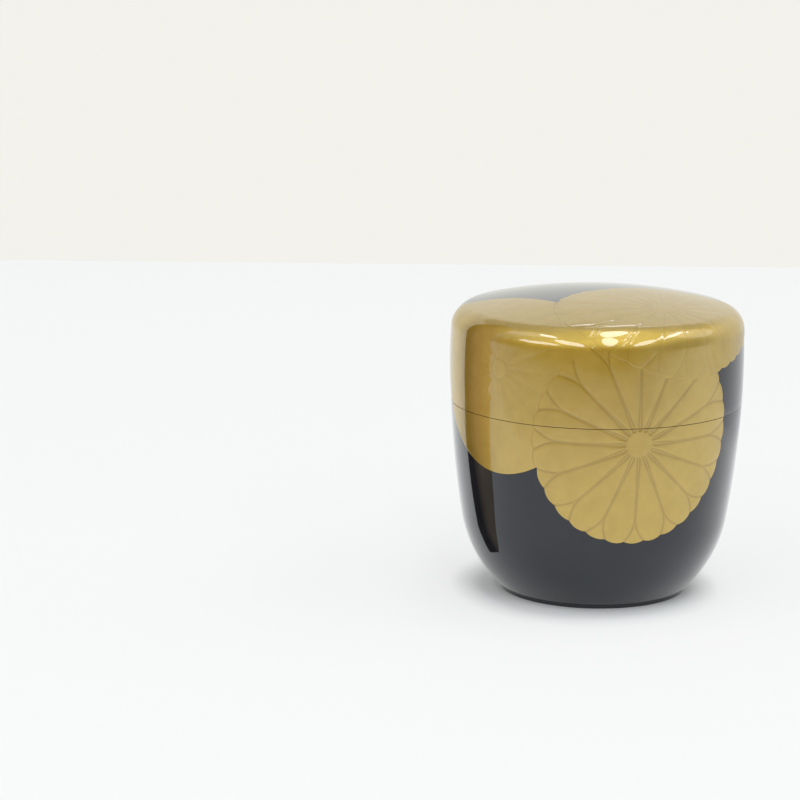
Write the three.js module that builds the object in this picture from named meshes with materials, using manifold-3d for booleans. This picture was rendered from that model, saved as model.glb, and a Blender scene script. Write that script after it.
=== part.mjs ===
// A natsume, the lidded caddy that holds powdered tea: a turned body and a turned lid in black
// lacquer, with three raised gold chrysanthemums. Millimetres, +Z up, the origin on the axis at
// the bottom of the foot, and the front, where the large flower is, towards -Y.

import * as THREE from "three";
import { mergeVertices } from "three/addons/utils/BufferGeometryUtils.js";
import Module from "manifold-3d";

const wasm = await Module();
wasm.setup();

// Outer form: every curve is an arc, and neighbouring arcs meet without a corner.
const widestRadius = 33;
const bodyHeight = 43.4; // from the foot to the seam
const lidHeight = 24.8; // from the seam to the top of the dome
const widestAboveSeam = 9.4;
const upperSideRadius = 124;
const shoulderRadius = 4.9;
const domeRadius = 126;
const lowerSideRadius = 217;
const baseCurveHeight = 17.2; // where the side turns into the round of the base
const footRadius = 21.2;
const footHeight = 0.8;
const easedEdge = 0.3; // the sharp turned edges are broken by this much
const seamEase = 0.15; // and the two that meet at the seam by this much

// The body's inside, its standing collar, which the lid slips over, and its foot.
const collarHeight = 8;
const collarWall = 1.7;
const baseThickness = 3.1;
const cupCornerRadius = 17;
const footRingWidth = 2.4;
const footRecess = 0.9;

// The lid's inside.
const lidLipWidth = 2.6;
const lidClearance = 0.2;
const lidTopThickness = 2.8;
const lidCornerRadius = 3;

// The gold: each flower is a raised layer that follows the lacquer.
const goldGap = 0.22;
const goldThickness = 0.24;
const grooveDepth = 0.16;
const backPetalDrop = 0.06;
const flowerClearance = 0.3; // between one flower and the next
const cutterReach = 1.2; // how far a cutting shape passes the gold on both sides

// Where each flower lies: its angle round the axis from the front in degrees, the place of its
// centre, and its radius along the surface. Its outline swells from a circle once, twice and
// three times round, by a cosine and a sine, as shares of the radius.
const frontFlowerAngle = 13.6;
const frontFlowerHeight = 39.9;
const frontFlowerRadius = 23.8;
const frontSwellShares = [[0.048, 0.018], [0, 0.02]];
const leftFlowerAngle = -43.5;
const leftFlowerHeight = 54.8;
const leftFlowerRadius = 25.5;
const leftSwellShares = [[0.083, -0.022], [-0.035, 0], [-0.044, 0]];
const topFlowerAngle = 43;
const topFlowerOffset = 19.9; // from the axis
const topFlowerRadius = 23.2;
const topSwellShares = [[-0.04, -0.02], [-0.084, -0.012], [-0.018, -0.025]];

// A flower's drawing. Outwards, as shares of its radius: the disc, the start of the gaps, and
// where they split round the tips of the petals behind.
const petalCount = 16;
const discShare = 0.12;
const smallDiscShare = 0.093;
const gapStartShare = 0.155;
const splitShare = 0.77;
const lobeShare = 0.019;

// Across half a petal, as shares of that width: the gap at its root, at its neck and at the tips,
// and the line that edges it, which keeps its width and so is a share of the width at the rim.
const gapRootShare = 0.42;
const gapNeckShare = 0.03;
const tipShare = 0.52;
const lineShare = 0.05;
const widestLineShare = 0.3;
const flankShare = 0.35; // from the line to the crest
const wideFlankShare = 0.6;
const gapPower = 4;
const splitPower = 1.45;

// The left flower's lines are fainter, and fade on the way out.
const faintShare = 0.6;
const fadeStartShare = 0.42;
const fadeEndShare = 0.8;
const rimSpreadShare = 0.3;

// How finely the curves are divided.
const turnSegments = 44;
const domeSteps = 4;
const shoulderSteps = 6;
const sideSteps = 3;
const baseSteps = 7;
const cornerSteps = 4;
const walkSteps = 60;
const sideRings = 5;
const topRings = 7;
const shoulderRings = 6;
const bendShare = 0.35; // how much a radian of bend counts among the rings, as a share of the radius

const topHeight = bodyHeight + lidHeight;
const widestHeight = bodyHeight + widestAboveSeam;

// A profile lies in the plane of distance from the axis (x) and height (y).
const spot = (radius, height) => new THREE.Vector2(radius, height);

function onCircle(centre, radius, angle) {
  return spot(centre.x + radius * Math.cos(angle), centre.y + radius * Math.sin(angle));
}

function angleFrom(centre, place) {
  return Math.atan2(place.y - centre.y, place.x - centre.x);
}

function arcSpots(arc, from, to, steps) {
  const at = (step) => onCircle(arc.centre, arc.radius, from + ((to - from) * step) / steps);
  return Array.from({ length: steps + 1 }, (_, step) => at(step));
}

// The angle on an arc at which it stands at the given height.
function angleAtHeight(arc, height) {
  return Math.asin((height - arc.centre.y) / arc.radius);
}

// The outer form is five arcs, from the top of the dome down to the foot.
function outerForm() {
  const domeCentre = spot(0, topHeight - domeRadius);
  const upperCentre = spot(widestRadius - upperSideRadius, widestHeight);
  const lowerCentre = spot(widestRadius - lowerSideRadius, widestHeight);

  // The shoulder touches the dome and the side from inside.
  const toUpper = upperCentre.clone().sub(domeCentre);
  const domeReach = domeRadius - shoulderRadius;
  const sideReach = upperSideRadius - shoulderRadius;
  const apart = toUpper.length();
  const along = (apart ** 2 + domeReach ** 2 - sideReach ** 2) / (2 * apart);
  const aside = Math.sqrt(domeReach ** 2 - along ** 2);
  toUpper.normalize();
  const shoulderCentre = domeCentre
    .clone()
    .addScaledVector(toUpper, along)
    .add(spot(toUpper.y, -toUpper.x).multiplyScalar(aside));
  const shoulderFrom = angleFrom(domeCentre, shoulderCentre);
  const shoulderTo = angleFrom(upperCentre, shoulderCentre);

  // The base curve leaves the side without a corner and ends on the foot's upper edge.
  const baseFrom = Math.asin((baseCurveHeight - widestHeight) / lowerSideRadius);
  const baseStart = onCircle(lowerCentre, lowerSideRadius, baseFrom);
  const inward = spot(-Math.cos(baseFrom), -Math.sin(baseFrom));
  const footEdge = spot(footRadius, footHeight);
  const chord = footEdge.clone().sub(baseStart);
  const baseRadius = chord.lengthSq() / (2 * chord.dot(inward));
  const baseCentre = baseStart.clone().addScaledVector(inward, baseRadius);
  const baseTo = angleFrom(baseCentre, footEdge);

  return {
    dome: { centre: domeCentre, radius: domeRadius, from: Math.PI / 2, to: shoulderFrom },
    shoulder: { centre: shoulderCentre, radius: shoulderRadius, from: shoulderFrom, to: shoulderTo },
    upperSide: { centre: upperCentre, radius: upperSideRadius, from: shoulderTo, to: 0 },
    lowerSide: { centre: lowerCentre, radius: lowerSideRadius, from: 0, to: baseFrom },
    base: { centre: baseCentre, radius: baseRadius, from: baseFrom, to: baseTo },
  };
}

const form = outerForm();
const seamRadius = onCircle(
  form.lowerSide.centre,
  form.lowerSide.radius,
  angleAtHeight(form.lowerSide, bodyHeight),
).x;
const lidBoreRadius = seamRadius - lidLipWidth;
const collarRadius = lidBoreRadius - lidClearance;
const cupRadius = collarRadius - collarWall;

// A closed profile, drawn upwards on its outer side, is turned round the axis.
function turned(profile) {
  const geometry = new THREE.LatheGeometry(profile, turnSegments);
  geometry.rotateX(Math.PI / 2);
  geometry.deleteAttribute("normal");
  geometry.deleteAttribute("uv");
  const merged = mergeVertices(geometry);
  merged.computeVertexNormals();
  return merged;
}

function bodyGeometry() {
  const { lowerSide, base } = form;
  const ringInnerRadius = footRadius - footRingWidth;
  const cupFloor = footRecess + baseThickness;
  const collarTop = bodyHeight + collarHeight;
  const corner = {
    centre: spot(cupRadius - cupCornerRadius, cupFloor + cupCornerRadius),
    radius: cupCornerRadius,
  };
  const underside = [
    spot(0, footRecess),
    spot(ringInnerRadius, footRecess),
    spot(ringInnerRadius, 0),
    spot(footRadius - easedEdge, 0),
    spot(footRadius, easedEdge),
  ];
  const seamAngle = angleAtHeight(lowerSide, bodyHeight - seamEase);
  const outside = [
    ...arcSpots(base, base.to, base.from, baseSteps),
    ...arcSpots(lowerSide, lowerSide.to, seamAngle, sideSteps).slice(1),
  ];
  const ledgeAndCollar = [
    spot(seamRadius - seamEase, bodyHeight),
    spot(collarRadius, bodyHeight),
    spot(collarRadius, collarTop - easedEdge),
    spot(collarRadius - easedEdge, collarTop),
    spot(cupRadius + easedEdge, collarTop),
    spot(cupRadius, collarTop - easedEdge),
  ];
  const inside = [...arcSpots(corner, 0, -Math.PI / 2, cornerSteps), spot(0, cupFloor)];
  return turned([...underside, ...outside, ...ledgeAndCollar, ...inside]);
}

function lidGeometry() {
  const { dome, shoulder, upperSide, lowerSide } = form;
  const ceiling = { centre: dome.centre, radius: domeRadius - lidTopThickness };
  const cornerReach = ceiling.radius - lidCornerRadius;
  const cornerX = lidBoreRadius - lidCornerRadius;
  const cornerRise = Math.sqrt(cornerReach ** 2 - cornerX ** 2);
  const corner = { centre: spot(cornerX, dome.centre.y + cornerRise), radius: lidCornerRadius };
  const cornerAngle = angleFrom(dome.centre, corner.centre);
  const inside = [
    ...arcSpots(ceiling, Math.PI / 2, cornerAngle, domeSteps),
    ...arcSpots(corner, cornerAngle, 0, cornerSteps).slice(1),
  ];
  const lip = [
    spot(lidBoreRadius, bodyHeight + easedEdge),
    spot(lidBoreRadius + easedEdge, bodyHeight),
    spot(seamRadius - seamEase, bodyHeight),
  ];
  const seamAngle = angleAtHeight(lowerSide, bodyHeight + seamEase);
  const outside = [
    ...arcSpots(lowerSide, seamAngle, 0, sideSteps),
    ...arcSpots(upperSide, 0, upperSide.from, sideSteps).slice(1),
    ...arcSpots(shoulder, shoulder.to, shoulder.from, shoulderSteps).slice(1),
    ...arcSpots(dome, dome.to, Math.PI / 2, domeSteps).slice(1),
  ];
  inside[0].x = 0;
  outside.at(-1).x = 0;
  return turned([...inside, ...lip, ...outside]);
}

// The place on the outer form nearest to any point by it, and the way the form faces there.
function nearestOnForm(place) {
  const fromAxis = Math.hypot(place.x, place.y);
  const turn = Math.atan2(place.y, place.x);
  let nearest = null;
  for (const arc of Object.values(form)) {
    const angle = angleFrom(arc.centre, spot(fromAxis, place.z));
    const facing = THREE.MathUtils.clamp(angle, arc.to, arc.from);
    const found = onCircle(arc.centre, arc.radius, facing);
    const gap = Math.hypot(found.x - fromAxis, found.y - place.z);
    if (nearest === null || gap < nearest.gap) nearest = { gap, facing, found };
  }
  const { facing, found } = nearest;
  const outward = Math.cos(facing);
  return {
    place: new THREE.Vector3(found.x * Math.cos(turn), found.x * Math.sin(turn), found.y),
    normal: new THREE.Vector3(outward * Math.cos(turn), outward * Math.sin(turn), Math.sin(facing)),
  };
}

// A straight walk over the form from the flower's centre, as a brush laid on it would run. It
// gives the places passed, how far along they are, and how much the form has bent by then.
function walkFrom(centre, heading, length) {
  const right = new THREE.Vector3(Math.cos(centre.turn), Math.sin(centre.turn), 0);
  const up = centre.normal.clone().cross(right);
  const ahead = up.multiplyScalar(Math.cos(heading)).addScaledVector(right, Math.sin(heading));
  const track = [{ place: centre.place, normal: centre.normal, travelled: 0, bend: 0 }];
  const stride = length / walkSteps;
  for (let step = 1; step <= walkSteps; step += 1) {
    const last = track.at(-1);
    const next = nearestOnForm(last.place.clone().addScaledVector(ahead, stride));
    const bend = last.bend + last.normal.angleTo(next.normal);
    ahead.addScaledVector(next.normal, -ahead.dot(next.normal)).normalize();
    track.push({ ...next, travelled: step * stride, bend });
  }
  return track;
}

// How far out the rings of vertices lie on one heading: at the disc's edge, at the start of the
// gaps, and then so that they crowd together where the form bends. On a flower that lies on the
// plain side, the one nearest to the split is moved to it.
function ringDistances(flower, heading, length) {
  const track = walkFrom(flower.centre, heading, length);
  const effort = (passed) => passed.travelled + passed.bend * bendShare * flower.radius;
  const start = gapStartShare * flower.radius;
  const first = track.find((passed) => passed.travelled >= start);
  const span = effort(track.at(-1)) - effort(first);
  const distances = [flower.disc * flower.radius, start];
  for (let ring = 1; ring < flower.rings; ring += 1) {
    const wanted = effort(first) + (span * ring) / flower.rings;
    distances.push(track.find((passed) => effort(passed) >= wanted).travelled);
  }
  distances.push(length);
  if (flower.ringAtSplit) {
    const split = splitShare * length;
    const misses = distances.slice(2, -1).map((distance) => Math.abs(distance - split));
    distances[2 + misses.indexOf(Math.min(...misses))] = split;
  }
  return distances;
}

// Half the gap between two petals, as a share of half a petal's width.
function gapAt(flower, reach) {
  if (flower.lobed && reach > splitShare) {
    const opened = (reach - splitShare) / (1 - splitShare);
    return gapNeckShare + (tipShare - gapNeckShare) * opened ** splitPower;
  }
  const closed = THREE.MathUtils.clamp((splitShare - reach) / (splitShare - gapStartShare), 0, 1);
  return gapNeckShare + (gapRootShare - gapNeckShare) * closed ** gapPower;
}

// How strongly the lines are cut at a place along the petals.
function strength(flower, reach) {
  if (flower.lobed) return reach > flower.disc ? 1 : 0;
  return faintShare * (1 - THREE.MathUtils.smoothstep(reach, fadeStartShare, fadeEndShare));
}

// The columns across half a petal, from the middle of the gap to the petal's crest: how far
// across each stands, how far the gold is sunk there, and how far the rim is drawn in. Up to the
// split the middle is the line; past it the middle is raised again, and the line runs beside it.
function columnsAt(flower, reach) {
  const gap = gapAt(flower, reach);
  const line = Math.min(lineShare / reach, widestLineShare);
  const open = THREE.MathUtils.clamp((gap - line) / line, 0, 1);
  const cut = strength(flower, reach);
  const behind = grooveDepth + (backPetalDrop - grooveDepth) * open;
  const lobe = flower.lobed ? lobeShare : 0;
  const spread = flower.lobed ? 0 : rimSpreadShare * THREE.MathUtils.smoothstep(reach, fadeStartShare, 1);
  const across = gap + line * (1 - open) + spread;
  return {
    middle: { across: 0, sunk: cut * behind, drawnIn: 0 },
    line: { across, sunk: cut * grooveDepth * open, drawnIn: lobe },
    flank: { across: across + (1 - across) * flower.flank, sunk: 0, drawnIn: lobe / 2 },
    crest: { across: 1, sunk: 0, drawnIn: 0 },
  };
}

// How far the outline stands from the flower's centre on one heading.
function outlineAt(flower, heading) {
  return flower.swells.reduce(
    (radius, [cosine, sine], index) =>
      radius +
      flower.radius * (cosine * Math.cos((index + 1) * heading) + sine * Math.sin((index + 1) * heading)),
    flower.radius,
  );
}

// One flower as a closed layer between two heights over the form. A margin widens it.
function flowerLayer(flower, under, over, margin, carved) {
  const positions = [];
  const addVertex = (passed, height) => {
    const vertex = passed.place.clone().addScaledVector(passed.normal, height);
    positions.push(vertex.x, vertex.y, vertex.z);
    return positions.length / 3 - 1;
  };
  const headingOf = (petal, side, across) => ((petal + (side * across) / 2) / petalCount) * 2 * Math.PI;
  const makeRow = (petal, side, name) => {
    const atRim = columnsAt(flower, 1)[name];
    const heading = headingOf(petal, side, atRim.across);
    const length = outlineAt(flower, heading) * (1 - atRim.drawnIn) + margin;
    const row = { top: [], under: [] };
    for (const distance of ringDistances(flower, heading, length)) {
      const column = columnsAt(flower, distance / length)[name];
      const passed = walkFrom(flower.centre, headingOf(petal, side, column.across), distance).at(-1);
      row.top.push(addVertex(passed, carved ? over - column.sunk : over));
      row.under.push(addVertex(passed, under));
    }
    return row;
  };
  const topCentre = addVertex(flower.centre, over);
  const underCentre = addVertex(flower.centre, under);
  const rows = [];
  for (let petal = 0; petal < petalCount; petal += 1) {
    rows.push(makeRow(petal, 1, "middle"), makeRow(petal, 1, "line"), makeRow(petal, 1, "flank"));
    if (flower.crested) rows.push(makeRow(petal, 1, "crest"));
    rows.push(makeRow(petal + 1, -1, "flank"), makeRow(petal + 1, -1, "line"));
  }
  const triangles = [];
  rows.forEach((row, index) => {
    const next = rows[(index + 1) % rows.length];
    const last = row.top.length - 1;
    triangles.push(topCentre, next.top[0], row.top[0], underCentre, row.under[0], next.under[0]);
    for (let ring = 0; ring < last; ring += 1) {
      triangles.push(row.top[ring], next.top[ring], next.top[ring + 1]);
      triangles.push(row.top[ring], next.top[ring + 1], row.top[ring + 1]);
      triangles.push(row.under[ring], next.under[ring + 1], next.under[ring]);
      triangles.push(row.under[ring], row.under[ring + 1], next.under[ring + 1]);
    }
    triangles.push(row.top[last], next.top[last], next.under[last]);
    triangles.push(row.top[last], next.under[last], row.under[last]);
  });
  return new wasm.Manifold(
    new wasm.Mesh({
      numProp: 3,
      vertProperties: new Float32Array(positions),
      triVerts: new Uint32Array(triangles),
    }),
  );
}

// A flower's centre on the form, nearest to the place with that angle, offset and height.
function centreAt(angle, fromAxis, height) {
  const turn = THREE.MathUtils.degToRad(angle);
  const near = new THREE.Vector3(fromAxis * Math.sin(turn), -fromAxis * Math.cos(turn), height);
  return { ...nearestOnForm(near), turn };
}

const layer = (flower) => flowerLayer(flower, goldGap, goldGap + goldThickness, 0, true);
const cutter = (flower) => flowerLayer(flower, -cutterReach, cutterReach, flowerClearance, false);

// Everything above the given height, as a block that a layer is cut with.
function blockAbove(height) {
  const width = 4 * widestRadius;
  const block = new THREE.BoxGeometry(width, width, topHeight);
  block.translate(0, 0, height + topHeight / 2);
  block.deleteAttribute("normal");
  block.deleteAttribute("uv");
  const merged = mergeVertices(block);
  return new wasm.Manifold(
    new wasm.Mesh({
      numProp: 3,
      vertProperties: new Float32Array(merged.attributes.position.array),
      triVerts: new Uint32Array(merged.index.array),
    }),
  );
}

function geometryOf(solid) {
  const mesh = solid.getMesh();
  const geometry = new THREE.BufferGeometry();
  geometry.setAttribute("position", new THREE.BufferAttribute(mesh.vertProperties, 3));
  geometry.setIndex(new THREE.BufferAttribute(mesh.triVerts, 1));
  geometry.computeVertexNormals();
  return geometry;
}

// The top flower lies over the other two, and the front one over the left one. A flower that
// crosses the seam is parted there.
function flowerPieces() {
  const front = {
    centre: centreAt(frontFlowerAngle, widestRadius, frontFlowerHeight),
    radius: frontFlowerRadius,
    swells: frontSwellShares,
    disc: discShare,
    lobed: true,
    crested: true,
    flank: flankShare,
    rings: sideRings,
    ringAtSplit: true,
  };
  const top = {
    ...front,
    centre: centreAt(topFlowerAngle, topFlowerOffset, topHeight),
    radius: topFlowerRadius,
    swells: topSwellShares,
    rings: topRings,
    ringAtSplit: false,
  };
  const left = {
    centre: centreAt(leftFlowerAngle, widestRadius, leftFlowerHeight),
    radius: leftFlowerRadius,
    swells: leftSwellShares,
    disc: smallDiscShare,
    lobed: false,
    crested: false,
    flank: wideFlankShare,
    rings: shoulderRings,
    ringAtSplit: false,
  };
  const frontLayer = layer(front).subtract(cutter(top));
  const leftLayer = layer(left).subtract(cutter(front)).subtract(cutter(top));
  const aboveSeam = blockAbove(bodyHeight + seamEase);
  const fromSeam = blockAbove(bodyHeight - seamEase);
  return {
    onLid: {
      front_flower_upper: frontLayer.intersect(aboveSeam),
      left_flower_upper: leftLayer.intersect(aboveSeam),
      top_flower: layer(top),
    },
    onBody: {
      front_flower_lower: frontLayer.subtract(fromSeam),
      left_flower_lower: leftLayer.subtract(fromSeam),
    },
  };
}

const lacquer = { color: 0x141416, roughness: 0.12, metalness: 0 };
const gold = { color: 0xb4954a, roughness: 0.38, metalness: 0.75 };

function piece(name, geometry, finish) {
  const mesh = new THREE.Mesh(geometry, new THREE.MeshStandardMaterial(finish));
  mesh.name = name;
  return mesh;
}

function assembly(turnedPiece, flowers) {
  const group = new THREE.Group();
  group.add(turnedPiece);
  for (const [name, solid] of Object.entries(flowers)) {
    group.add(piece(name, geometryOf(solid), gold));
  }
  return group;
}

const flowers = flowerPieces();
const group = new THREE.Group();
group.add(assembly(piece("caddy_body", bodyGeometry(), lacquer), flowers.onBody));
group.add(assembly(piece("caddy_lid", lidGeometry(), lacquer), flowers.onLid));

export default group;
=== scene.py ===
import math

import bmesh
import bpy
import numpy as np
from mathutils import Matrix, Vector


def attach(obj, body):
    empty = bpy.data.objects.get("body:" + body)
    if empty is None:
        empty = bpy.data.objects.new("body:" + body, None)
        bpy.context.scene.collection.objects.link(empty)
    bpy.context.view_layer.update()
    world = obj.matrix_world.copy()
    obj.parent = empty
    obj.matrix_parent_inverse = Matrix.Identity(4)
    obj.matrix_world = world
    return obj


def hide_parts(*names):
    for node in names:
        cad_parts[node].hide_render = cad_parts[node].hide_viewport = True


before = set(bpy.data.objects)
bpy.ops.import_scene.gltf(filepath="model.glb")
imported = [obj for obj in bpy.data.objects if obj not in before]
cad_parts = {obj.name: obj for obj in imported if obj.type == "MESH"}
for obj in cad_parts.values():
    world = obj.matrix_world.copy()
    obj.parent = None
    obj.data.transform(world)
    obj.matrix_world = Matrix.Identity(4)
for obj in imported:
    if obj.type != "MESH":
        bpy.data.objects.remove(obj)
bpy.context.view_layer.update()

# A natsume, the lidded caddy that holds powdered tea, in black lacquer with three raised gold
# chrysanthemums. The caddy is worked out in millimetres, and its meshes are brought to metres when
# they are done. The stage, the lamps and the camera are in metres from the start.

MILLIMETRE = 0.001

# The outer form: every curve is an arc, and neighbouring arcs meet without a corner.
WIDEST_RADIUS = 33
BODY_HEIGHT = 43.4
LID_HEIGHT = 24.8
WIDEST_ABOVE_SEAM = 9.4
UPPER_SIDE_RADIUS = 124
SHOULDER_RADIUS = 4.9
DOME_RADIUS = 126
LOWER_SIDE_RADIUS = 217
BASE_CURVE_HEIGHT = 17.2
FOOT_RADIUS = 21.2
FOOT_HEIGHT = 0.8
SEAM_EASE = 0.14
EDGE_EASE = 0.3
TOP_HEIGHT = BODY_HEIGHT + LID_HEIGHT
WIDEST_HEIGHT = BODY_HEIGHT + WIDEST_ABOVE_SEAM

# The inside of the body, its collar, its foot, and the inside of the lid.
COLLAR_HEIGHT = 8
COLLAR_WALL = 1.7
BASE_THICKNESS = 3.1
CUP_CORNER_RADIUS = 17
FOOT_RING_WIDTH = 2.4
FOOT_RECESS = 0.9
LID_LIP_WIDTH = 2.6
LID_CLEARANCE = 0.2
LID_TOP_THICKNESS = 2.8
LID_CORNER_RADIUS = 3

# How finely the turned pieces are drawn. A point nearer to the axis than ON_AXIS is on it.
TURN_SEGMENTS = 240
EASE_STEPS = 4
BASE_STEPS = 36
LOWER_SIDE_STEPS = 8
CUP_CORNER_STEPS = 24
CEILING_STEPS = 10
LID_CORNER_STEPS = 12
ABOVE_SEAM_STEPS = 5
UPPER_SIDE_STEPS = 6
SHOULDER_STEPS = 28
DOME_STEPS = 12
ON_AXIS = 0.001

# An edge sharper than these angles, in degrees, isn't shaded smooth.
TURNED_EDGE_ANGLE = 40
GOLD_EDGE_ANGLE = 30

# The gold's heights over the lacquer.
GOLD_UNDER = -0.06
GOLD_FLOOR = 0.085
GOLD_BAND = 0.105
GOLD_PETAL_EDGE = 0.12
GOLD_PETAL_CREST = 0.15
GOLD_DISC = 0.14

# How a flower that lies under another, or crosses the seam, is cut.
CUTTER_TOP = 1.0
CUTTER_DEEP = -1.0
OVERLAP_LINE = 0.07
OVERLAP_TUCK = 0.05
GOLD_SEAM_HALF = 0.065

# A flower's drawing. Shares along a petal are of the flower's radius. Lengths are across it. A gap
# parts two petals, with a line along each of its sides, and it opens wide between lobed tips.
PETALS = 16
GAP_SHARES = [0.118, 0.14, 0.2, 0.3, 0.4, 0.5, 0.65, 0.765]
GAP_HALVES = [0.02, 0.26, 0.28, 0.18, 0.1, 0.06, 0.035, 0.03]
SPLIT_SHARE = 0.765
SPLIT_HALF = 2.4
SPLIT_POWER = 1.4
LINE_WIDTH = 0.78
LINE_FLOOR_SHARE = 0.3
LINE_START_SHARE = 0.004
LINE_FULL_SHARE = 0.012
DISC_SHARE = 0.12
SMALL_DISC_SHARE = 0.081
DISC_LINE_SHARE = 0.012
DISC_LINE_DEPTH_SHARE = 0.5
CREST_RISE_SHARE = 0.4
EDGE_RISE_SHARE = 0.2
LOBE_DEPTH = 0.45
LOBE_START_SHARE = 0.8
RIM_START_SHARE = 0.99
RIM_FALL_SHARE = 0.15

# Where a gap or a petal is narrower than a line, the line's sides stay at these shares of it.
INNER_LIMIT_SHARE = 0.2
INNER_FLOOR_LIMIT_SHARE = 0.6
OUTER_LIMIT_SHARE = 0.9
OUTER_FLOOR_LIMIT_SHARE = 0.8

# The band between a gap's two lines rises while half the gap grows between these shares of half a
# line.
BAND_START_SHARE = 0.4
BAND_FULL_SHARE = 1.4

# How finely a flower is drawn: across half a petal, and out from its centre.
BAND_SHARES = [0, 0.34, 0.67]
PETAL_SHARES = [0.16, 0.4, 0.62, 0.82]
DISC_STEP_SHARES = [-0.08, -0.04, -0.015, -0.004, 0, 0.004, 0.012, 0.025, 0.045, 0.07]
RING_SHARES = [
    *np.linspace(0.21, 0.755, 31),
    *np.linspace(0.77, 0.985, 17),
    0.992, 0.997, 1,
]
CUTTER_SHARES = np.linspace(0.1, 1, 24)
UNDER_STEP = 3
LINE_COLUMN = len(BAND_SHARES)
LINE_COLUMNS = 3
WALK_HEADINGS = 720
WALK_STRIDE = 0.15
WALK_SPARE = 1

# The tones of gold that a face can have. A fade that begins past the rim is none.
PLAIN, FAINT, BESIDE_LINE, IN_LINE = range(4)
NO_FADE = (2, 3)


class Arc:
    """An arc of the outer form, in the plane of distance from the axis and height."""

    def __init__(self, centre, radius, start, stop):
        self.centre = centre
        self.radius = radius
        self.start = start
        self.stop = stop

    def at(self, angle):
        x, y = self.centre
        return np.array([x + self.radius * math.cos(angle), y + self.radius * math.sin(angle)])

    def at_height(self, height):
        return math.asin((height - self.centre[1]) / self.radius)

    def points(self, start, stop, steps):
        return [self.at(start + (stop - start) * step / steps) for step in range(steps + 1)]


def angle_of(direction):
    return math.atan2(direction[1], direction[0])


def outer_form():
    dome_centre = np.array([0, TOP_HEIGHT - DOME_RADIUS])
    upper_centre = np.array([WIDEST_RADIUS - UPPER_SIDE_RADIUS, WIDEST_HEIGHT])
    lower_centre = np.array([WIDEST_RADIUS - LOWER_SIDE_RADIUS, WIDEST_HEIGHT])

    # The shoulder touches the dome and the side from inside.
    to_upper = upper_centre - dome_centre
    apart = np.linalg.norm(to_upper)
    dome_reach = DOME_RADIUS - SHOULDER_RADIUS
    side_reach = UPPER_SIDE_RADIUS - SHOULDER_RADIUS
    along = (apart**2 + dome_reach**2 - side_reach**2) / (2 * apart)
    aside = math.sqrt(dome_reach**2 - along**2)
    to_upper /= apart
    shoulder_centre = dome_centre + to_upper * along + np.array([to_upper[1], -to_upper[0]]) * aside
    shoulder_start = angle_of(shoulder_centre - dome_centre)
    shoulder_stop = angle_of(shoulder_centre - upper_centre)

    # The base curve leaves the side without a corner and ends on the foot's upper edge.
    base_start = math.asin((BASE_CURVE_HEIGHT - WIDEST_HEIGHT) / LOWER_SIDE_RADIUS)
    outward = np.array([math.cos(base_start), math.sin(base_start)])
    base_top = lower_centre + outward * LOWER_SIDE_RADIUS
    foot_edge = np.array([FOOT_RADIUS, FOOT_HEIGHT])
    chord = foot_edge - base_top
    base_radius = -chord.dot(chord) / (2 * chord.dot(outward))
    base_centre = base_top - outward * base_radius
    base_stop = angle_of(foot_edge - base_centre)

    return {
        "dome": Arc(dome_centre, DOME_RADIUS, math.pi / 2, shoulder_start),
        "shoulder": Arc(shoulder_centre, SHOULDER_RADIUS, shoulder_start, shoulder_stop),
        "upper_side": Arc(upper_centre, UPPER_SIDE_RADIUS, shoulder_stop, 0),
        "lower_side": Arc(lower_centre, LOWER_SIDE_RADIUS, 0, base_start),
        "base": Arc(base_centre, base_radius, base_start, base_stop),
    }


FORM = outer_form()
SEAM_RADIUS = FORM["lower_side"].at(FORM["lower_side"].at_height(BODY_HEIGHT))[0]
LID_BORE_RADIUS = SEAM_RADIUS - LID_LIP_WIDTH
COLLAR_RADIUS = LID_BORE_RADIUS - LID_CLEARANCE
CUP_RADIUS = COLLAR_RADIUS - COLLAR_WALL


def nearest_on_form(points):
    """The places on the outer form nearest to points by it, and the way the form faces there."""
    from_axis = np.hypot(points[:, 0], points[:, 1])
    turn = np.arctan2(points[:, 1], points[:, 0])
    nearest_gap = np.full(len(points), np.inf)
    radius = np.zeros(len(points))
    height = np.zeros(len(points))
    facing = np.zeros(len(points))
    for arc in FORM.values():
        x, y = arc.centre
        angle = np.clip(np.arctan2(points[:, 2] - y, from_axis - x), arc.stop, arc.start)
        found_radius = x + arc.radius * np.cos(angle)
        found_height = y + arc.radius * np.sin(angle)
        gap = np.hypot(found_radius - from_axis, found_height - points[:, 2])
        nearer = gap < nearest_gap
        nearest_gap = np.where(nearer, gap, nearest_gap)
        radius = np.where(nearer, found_radius, radius)
        height = np.where(nearer, found_height, height)
        facing = np.where(nearer, angle, facing)
    places = np.column_stack([radius * np.cos(turn), radius * np.sin(turn), height])
    outward = np.cos(facing)
    normals = np.column_stack([outward * np.cos(turn), outward * np.sin(turn), np.sin(facing)])
    return places, normals


def eased(before, corner, after, size):
    """A profile's corner broken by a small curve."""
    corner = np.array(corner, float)
    start = np.array(before, float) - corner
    stop = np.array(after, float) - corner
    start *= size / np.linalg.norm(start)
    stop *= size / np.linalg.norm(stop)
    shares = [step / EASE_STEPS for step in range(EASE_STEPS + 1)]
    return [corner + start * (1 - share) ** 2 + stop * share**2 for share in shares]


def mesh_object(name, vertices, faces, materials, face_materials=None):
    mesh = bpy.data.meshes.new(name)
    mesh.from_pydata([tuple(vertex) for vertex in vertices], [], faces)
    if face_materials is not None:
        mesh.polygons.foreach_set("material_index", face_materials)
    mesh.update()
    made = bpy.data.objects.new(name, mesh)
    bpy.context.scene.collection.objects.link(made)
    for material in materials:
        mesh.materials.append(material)
    return made


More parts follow.
